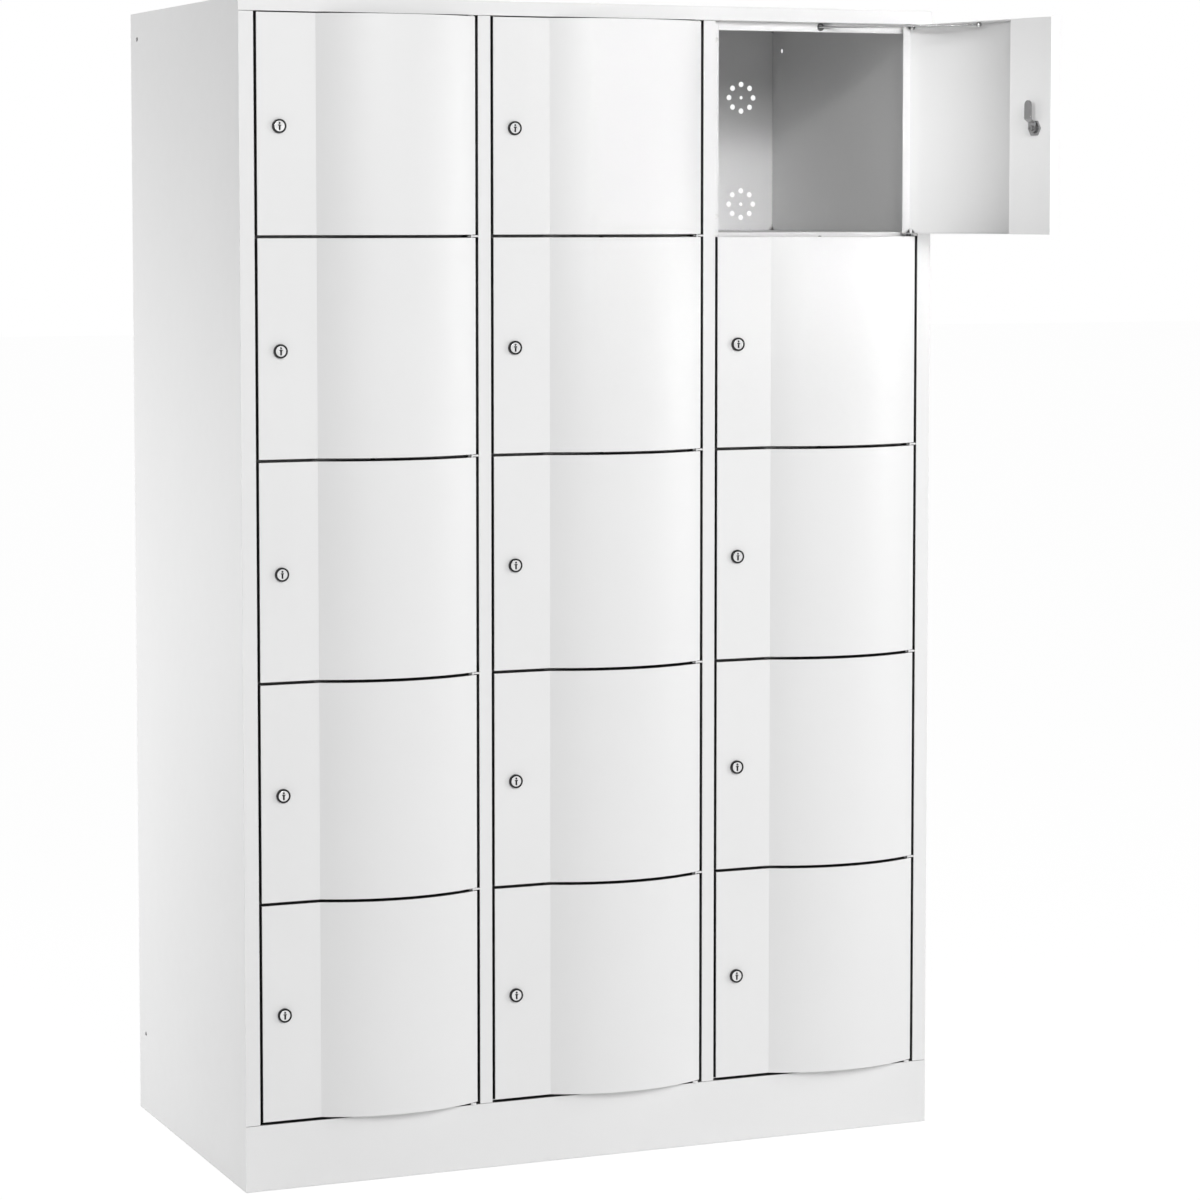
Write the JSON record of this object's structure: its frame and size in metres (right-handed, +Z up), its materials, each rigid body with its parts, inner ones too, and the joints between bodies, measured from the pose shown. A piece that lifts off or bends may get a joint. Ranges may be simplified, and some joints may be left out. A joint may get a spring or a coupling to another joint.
{
  "type": "locker cabinet",
  "caption": "Compartment locker cabinet in pale painted sheet steel, with bowed doors, cam locks, sliding door stays and a closed plinth; one door stands open.",
  "frame": {"origin": "on the floor, at the centre of the carcass footprint", "axes": "+X to the right seen from the front, +Y from the front to the back, +Z up"},
  "size_m": [1.2978, 1, 1.95],
  "materials": {
    "carcass_paint": "fine satin powder coat",
    "door_paint": "fine satin powder coat",
    "hinge_paint": "satin powder coat",
    "lock_chrome": "polished",
    "stay_steel": "bright zinc",
    "bush_plastic": "matte black",
    "buffer_rubber": "matte pale grey",
    "foot_plastic": "matte black"
  },
  "bodies": {
    "carcass": {"side_panel_left": "carcass_paint", "side_panel_right": "carcass_paint", "partition_left": "carcass_paint", "partition_right": "carcass_paint", "mid_stiles": "carcass_paint", "floors_left": "carcass_paint", "floors_middle": "carcass_paint", "floors_right": "carcass_paint", "roof_panel": "carcass_paint", "plinth": "carcass_paint", "back_panel": "carcass_paint", "hinge_lugs": "hinge_paint", "stay_bushes": "bush_plastic", "door_buffers": "buffer_rubber", "levelling_feet": "foot_plastic"},
    "door_left_1": {"door_left_1": "door_paint"},
    "lock_left_1": {"lock_cam_left_1": "lock_chrome"},
    "stay_left_1": {"stay_rod_left_1": "stay_steel"},
    "door_left_2": {"door_left_2": "door_paint"},
    "lock_left_2": {"lock_cam_left_2": "lock_chrome"},
    "stay_left_2": {"stay_rod_left_2": "stay_steel"},
    "door_left_3": {"door_left_3": "door_paint"},
    "lock_left_3": {"lock_cam_left_3": "lock_chrome"},
    "stay_left_3": {"stay_rod_left_3": "stay_steel"},
    "door_left_4": {"door_left_4": "door_paint"},
    "lock_left_4": {"lock_cam_left_4": "lock_chrome"},
    "stay_left_4": {"stay_rod_left_4": "stay_steel"},
    "door_left_5": {"door_left_5": "door_paint"},
    "lock_left_5": {"lock_cam_left_5": "lock_chrome"},
    "stay_left_5": {"stay_rod_left_5": "stay_steel"},
    "door_middle_1": {"door_middle_1": "door_paint"},
    "lock_middle_1": {"lock_cam_middle_1": "lock_chrome"},
    "stay_middle_1": {"stay_rod_middle_1": "stay_steel"},
    "door_middle_2": {"door_middle_2": "door_paint"},
    "lock_middle_2": {"lock_cam_middle_2": "lock_chrome"},
    "stay_middle_2": {"stay_rod_middle_2": "stay_steel"},
    "door_middle_3": {"door_middle_3": "door_paint"},
    "lock_middle_3": {"lock_cam_middle_3": "lock_chrome"},
    "stay_middle_3": {"stay_rod_middle_3": "stay_steel"},
    "door_middle_4": {"door_middle_4": "door_paint"},
    "lock_middle_4": {"lock_cam_middle_4": "lock_chrome"},
    "stay_middle_4": {"stay_rod_middle_4": "stay_steel"},
    "door_middle_5": {"door_middle_5": "door_paint"},
    "lock_middle_5": {"lock_cam_middle_5": "lock_chrome"},
    "stay_middle_5": {"stay_rod_middle_5": "stay_steel"},
    "door_right_1": {"door_right_1": "door_paint"},
    "lock_right_1": {"lock_cam_right_1": "lock_chrome"},
    "stay_right_1": {"stay_rod_right_1": "stay_steel"},
    "door_right_2": {"door_right_2": "door_paint"},
    "lock_right_2": {"lock_cam_right_2": "lock_chrome"},
    "stay_right_2": {"stay_rod_right_2": "stay_steel"},
    "door_right_3": {"door_right_3": "door_paint"},
    "lock_right_3": {"lock_cam_right_3": "lock_chrome"},
    "stay_right_3": {"stay_rod_right_3": "stay_steel"},
    "door_right_4": {"door_right_4": "door_paint"},
    "lock_right_4": {"lock_cam_right_4": "lock_chrome"},
    "stay_right_4": {"stay_rod_right_4": "stay_steel"},
    "door_right_5": {"door_right_5": "door_paint"},
    "lock_right_5": {"lock_cam_right_5": "lock_chrome"},
    "stay_right_5": {"stay_rod_right_5": "stay_steel"}
  },
  "joints": [
    {"name": "door_hinge_left_1", "type": "hinge", "parent": "carcass", "child": "door_left_1", "pos_m": [-0.22667, -0.318, 1.7455], "axis": [0, 0, 1], "range_deg": [0, 103]},
    {"name": "lock_turn_left_1", "type": "hinge", "parent": "door_left_1", "child": "lock_left_1", "pos_m": [-0.558, -0.298, 1.742], "axis": [0, -1, 0], "range_deg": [0, 90]},
    {"name": "stay_pivot_left_1", "type": "hinge", "parent": "door_left_1", "child": "stay_left_1", "pos_m": [-0.39459, -0.323, 1.9195], "axis": [0, 0, 1], "range_deg": [-51.5, 0]},
    {"name": "door_hinge_left_2", "type": "hinge", "parent": "carcass", "child": "door_left_2", "pos_m": [-0.22667, -0.318, 1.3825], "axis": [0, 0, 1], "range_deg": [0, 103]},
    {"name": "lock_turn_left_2", "type": "hinge", "parent": "door_left_2", "child": "lock_left_2", "pos_m": [-0.558, -0.298, 1.379], "axis": [0, -1, 0], "range_deg": [0, 90]},
    {"name": "stay_pivot_left_2", "type": "hinge", "parent": "door_left_2", "child": "stay_left_2", "pos_m": [-0.39459, -0.323, 1.5565], "axis": [0, 0, 1], "range_deg": [-51.5, 0]},
    {"name": "door_hinge_left_3", "type": "hinge", "parent": "carcass", "child": "door_left_3", "pos_m": [-0.22667, -0.318, 1.0195], "axis": [0, 0, 1], "range_deg": [0, 103]},
    {"name": "lock_turn_left_3", "type": "hinge", "parent": "door_left_3", "child": "lock_left_3", "pos_m": [-0.558, -0.298, 1.016], "axis": [0, -1, 0], "range_deg": [0, 90]},
    {"name": "stay_pivot_left_3", "type": "hinge", "parent": "door_left_3", "child": "stay_left_3", "pos_m": [-0.39459, -0.323, 1.1935], "axis": [0, 0, 1], "range_deg": [-51.5, 0]},
    {"name": "door_hinge_left_4", "type": "hinge", "parent": "carcass", "child": "door_left_4", "pos_m": [-0.22667, -0.318, 0.6565], "axis": [0, 0, 1], "range_deg": [0, 103]},
    {"name": "lock_turn_left_4", "type": "hinge", "parent": "door_left_4", "child": "lock_left_4", "pos_m": [-0.558, -0.298, 0.653], "axis": [0, -1, 0], "range_deg": [0, 90]},
    {"name": "stay_pivot_left_4", "type": "hinge", "parent": "door_left_4", "child": "stay_left_4", "pos_m": [-0.39459, -0.323, 0.8305], "axis": [0, 0, 1], "range_deg": [-51.5, 0]},
    {"name": "door_hinge_left_5", "type": "hinge", "parent": "carcass", "child": "door_left_5", "pos_m": [-0.22667, -0.318, 0.2935], "axis": [0, 0, 1], "range_deg": [0, 103]},
    {"name": "lock_turn_left_5", "type": "hinge", "parent": "door_left_5", "child": "lock_left_5", "pos_m": [-0.558, -0.298, 0.29], "axis": [0, -1, 0], "range_deg": [0, 90]},
    {"name": "stay_pivot_left_5", "type": "hinge", "parent": "door_left_5", "child": "stay_left_5", "pos_m": [-0.39459, -0.323, 0.4675], "axis": [0, 0, 1], "range_deg": [-51.5, 0]},
    {"name": "door_hinge_middle_1", "type": "hinge", "parent": "carcass", "child": "door_middle_1", "pos_m": [0.18067, -0.318, 1.7455], "axis": [0, 0, 1], "range_deg": [0, 103]},
    {"name": "lock_turn_middle_1", "type": "hinge", "parent": "door_middle_1", "child": "lock_middle_1", "pos_m": [-0.15067, -0.298, 1.742], "axis": [0, -1, 0], "range_deg": [0, 90]},
    {"name": "stay_pivot_middle_1", "type": "hinge", "parent": "door_middle_1", "child": "stay_middle_1", "pos_m": [0.01274, -0.323, 1.9195], "axis": [0, 0, 1], "range_deg": [-51.5, 0]},
    {"name": "door_hinge_middle_2", "type": "hinge", "parent": "carcass", "child": "door_middle_2", "pos_m": [0.18067, -0.318, 1.3825], "axis": [0, 0, 1], "range_deg": [0, 103]},
    {"name": "lock_turn_middle_2", "type": "hinge", "parent": "door_middle_2", "child": "lock_middle_2", "pos_m": [-0.15067, -0.298, 1.379], "axis": [0, -1, 0], "range_deg": [0, 90]},
    {"name": "stay_pivot_middle_2", "type": "hinge", "parent": "door_middle_2", "child": "stay_middle_2", "pos_m": [0.01274, -0.323, 1.5565], "axis": [0, 0, 1], "range_deg": [-51.5, 0]},
    {"name": "door_hinge_middle_3", "type": "hinge", "parent": "carcass", "child": "door_middle_3", "pos_m": [0.18067, -0.318, 1.0195], "axis": [0, 0, 1], "range_deg": [0, 103]},
    {"name": "lock_turn_middle_3", "type": "hinge", "parent": "door_middle_3", "child": "lock_middle_3", "pos_m": [-0.15067, -0.298, 1.016], "axis": [0, -1, 0], "range_deg": [0, 90]},
    {"name": "stay_pivot_middle_3", "type": "hinge", "parent": "door_middle_3", "child": "stay_middle_3", "pos_m": [0.01274, -0.323, 1.1935], "axis": [0, 0, 1], "range_deg": [-51.5, 0]},
    {"name": "door_hinge_middle_4", "type": "hinge", "parent": "carcass", "child": "door_middle_4", "pos_m": [0.18067, -0.318, 0.6565], "axis": [0, 0, 1], "range_deg": [0, 103]},
    {"name": "lock_turn_middle_4", "type": "hinge", "parent": "door_middle_4", "child": "lock_middle_4", "pos_m": [-0.15067, -0.298, 0.653], "axis": [0, -1, 0], "range_deg": [0, 90]},
    {"name": "stay_pivot_middle_4", "type": "hinge", "parent": "door_middle_4", "child": "stay_middle_4", "pos_m": [0.01274, -0.323, 0.8305], "axis": [0, 0, 1], "range_deg": [-51.5, 0]},
    {"name": "door_hinge_middle_5", "type": "hinge", "parent": "carcass", "child": "door_middle_5", "pos_m": [0.18067, -0.318, 0.2935], "axis": [0, 0, 1], "range_deg": [0, 103]},
    {"name": "lock_turn_middle_5", "type": "hinge", "parent": "door_middle_5", "child": "lock_middle_5", "pos_m": [-0.15067, -0.298, 0.29], "axis": [0, -1, 0], "range_deg": [0, 90]},
    {"name": "stay_pivot_middle_5", "type": "hinge", "parent": "door_middle_5", "child": "stay_middle_5", "pos_m": [0.01274, -0.323, 0.4675], "axis": [0, 0, 1], "range_deg": [-51.5, 0]},
    {"name": "door_hinge_right_1", "type": "hinge", "parent": "carcass", "child": "door_right_1", "pos_m": [0.588, -0.318, 1.7455], "axis": [0, 0, 1], "range_deg": [-103, 0]},
    {"name": "lock_turn_right_1", "type": "hinge", "parent": "door_right_1", "child": "lock_right_1", "pos_m": [0.64305, -0.64534, 1.742], "axis": [0.9744, 0.225, 0], "range_deg": [0, 90]},
    {"name": "stay_pivot_right_1", "type": "hinge", "parent": "door_right_1", "child": "stay_right_1", "pos_m": [0.63065, -0.4805, 1.9195], "axis": [0, 0, 1], "range_deg": [0, 51.5]},
    {"name": "door_hinge_right_2", "type": "hinge", "parent": "carcass", "child": "door_right_2", "pos_m": [0.588, -0.318, 1.3825], "axis": [0, 0, 1], "range_deg": [0, 103]},
    {"name": "lock_turn_right_2", "type": "hinge", "parent": "door_right_2", "child": "lock_right_2", "pos_m": [0.25667, -0.298, 1.379], "axis": [0, -1, 0], "range_deg": [0, 90]},
    {"name": "stay_pivot_right_2", "type": "hinge", "parent": "door_right_2", "child": "stay_right_2", "pos_m": [0.42007, -0.323, 1.5565], "axis": [0, 0, 1], "range_deg": [-51.5, 0]},
    {"name": "door_hinge_right_3", "type": "hinge", "parent": "carcass", "child": "door_right_3", "pos_m": [0.588, -0.318, 1.0195], "axis": [0, 0, 1], "range_deg": [0, 103]},
    {"name": "lock_turn_right_3", "type": "hinge", "parent": "door_right_3", "child": "lock_right_3", "pos_m": [0.25667, -0.298, 1.016], "axis": [0, -1, 0], "range_deg": [0, 90]},
    {"name": "stay_pivot_right_3", "type": "hinge", "parent": "door_right_3", "child": "stay_right_3", "pos_m": [0.42007, -0.323, 1.1935], "axis": [0, 0, 1], "range_deg": [-51.5, 0]},
    {"name": "door_hinge_right_4", "type": "hinge", "parent": "carcass", "child": "door_right_4", "pos_m": [0.588, -0.318, 0.6565], "axis": [0, 0, 1], "range_deg": [0, 103]},
    {"name": "lock_turn_right_4", "type": "hinge", "parent": "door_right_4", "child": "lock_right_4", "pos_m": [0.25667, -0.298, 0.653], "axis": [0, -1, 0], "range_deg": [0, 90]},
    {"name": "stay_pivot_right_4", "type": "hinge", "parent": "door_right_4", "child": "stay_right_4", "pos_m": [0.42007, -0.323, 0.8305], "axis": [0, 0, 1], "range_deg": [-51.5, 0]},
    {"name": "door_hinge_right_5", "type": "hinge", "parent": "carcass", "child": "door_right_5", "pos_m": [0.588, -0.318, 0.2935], "axis": [0, 0, 1], "range_deg": [0, 103]},
    {"name": "lock_turn_right_5", "type": "hinge", "parent": "door_right_5", "child": "lock_right_5", "pos_m": [0.25667, -0.298, 0.29], "axis": [0, -1, 0], "range_deg": [0, 90]},
    {"name": "stay_pivot_right_5", "type": "hinge", "parent": "door_right_5", "child": "stay_right_5", "pos_m": [0.42007, -0.323, 0.4675], "axis": [0, 0, 1], "range_deg": [-51.5, 0]}
  ],
  "couplings": [
    {"joint": "stay_pivot_left_1", "follows": "door_hinge_left_1", "ratio": -0.5},
    {"joint": "stay_pivot_left_2", "follows": "door_hinge_left_2", "ratio": -0.5},
    {"joint": "stay_pivot_left_3", "follows": "door_hinge_left_3", "ratio": -0.5},
    {"joint": "stay_pivot_left_4", "follows": "door_hinge_left_4", "ratio": -0.5},
    {"joint": "stay_pivot_left_5", "follows": "door_hinge_left_5", "ratio": -0.5},
    {"joint": "stay_pivot_middle_1", "follows": "door_hinge_middle_1", "ratio": -0.5},
    {"joint": "stay_pivot_middle_2", "follows": "door_hinge_middle_2", "ratio": -0.5},
    {"joint": "stay_pivot_middle_3", "follows": "door_hinge_middle_3", "ratio": -0.5},
    {"joint": "stay_pivot_middle_4", "follows": "door_hinge_middle_4", "ratio": -0.5},
    {"joint": "stay_pivot_middle_5", "follows": "door_hinge_middle_5", "ratio": -0.5},
    {"joint": "stay_pivot_right_1", "follows": "door_hinge_right_1", "ratio": -0.5},
    {"joint": "stay_pivot_right_2", "follows": "door_hinge_right_2", "ratio": -0.5},
    {"joint": "stay_pivot_right_3", "follows": "door_hinge_right_3", "ratio": -0.5},
    {"joint": "stay_pivot_right_4", "follows": "door_hinge_right_4", "ratio": -0.5},
    {"joint": "stay_pivot_right_5", "follows": "door_hinge_right_5", "ratio": -0.5}
  ]
}
